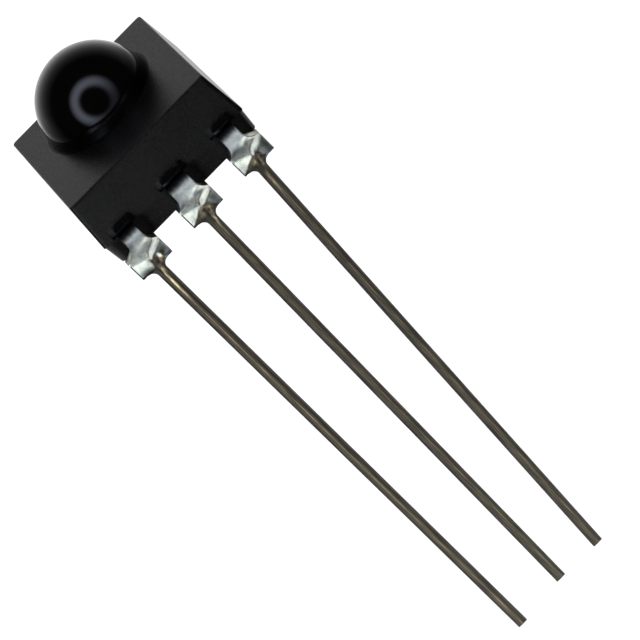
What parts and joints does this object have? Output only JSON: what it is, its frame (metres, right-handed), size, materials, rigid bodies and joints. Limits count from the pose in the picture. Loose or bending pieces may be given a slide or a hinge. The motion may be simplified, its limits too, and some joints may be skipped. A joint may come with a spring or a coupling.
{
  "type": "infrared receiver module",
  "caption": "Black resin infrared receiver with a domed lens on its front, and flat leads bent back below the body so that the lens faces away from the board.",
  "frame": {"origin": "the middle pin's centre line where it meets the top of the board, level with the undersides of the three shoulders", "axes": "+Z out through the lens along its axis, away from the board; the pins run along -Z; +X along the row of leads from the output lead to the supply lead; -Y is the way that the body's lower face looks, which the leads leave"},
  "size_m": [0.007, 0.0083, 0.0277],
  "materials": {
    "black_resin": "fine matte moulding, with a polished dome",
    "tinned_lead": "bright tin plate over copper alloy, dull and browned along the pins",
    "die_glue": "silver-filled glue",
    "photodiode_silicon": "polished silicon with a dark blue coating",
    "receiver_silicon": "polished silicon",
    "gold_wire": "drawn gold wire"
  },
  "bodies": {
    "root": {"body": "black_resin", "output_lead": "tinned_lead", "ground_lead": "tinned_lead", "supply_lead": "tinned_lead", "photodiode_glue": "die_glue", "photodiode_chip": "photodiode_silicon", "receiver_glue": "die_glue", "receiver_chip": "receiver_silicon", "photodiode_wire": "gold_wire", "output_wire": "gold_wire", "ground_wire": "gold_wire", "supply_wire": "gold_wire"}
  },
  "joints": []
}
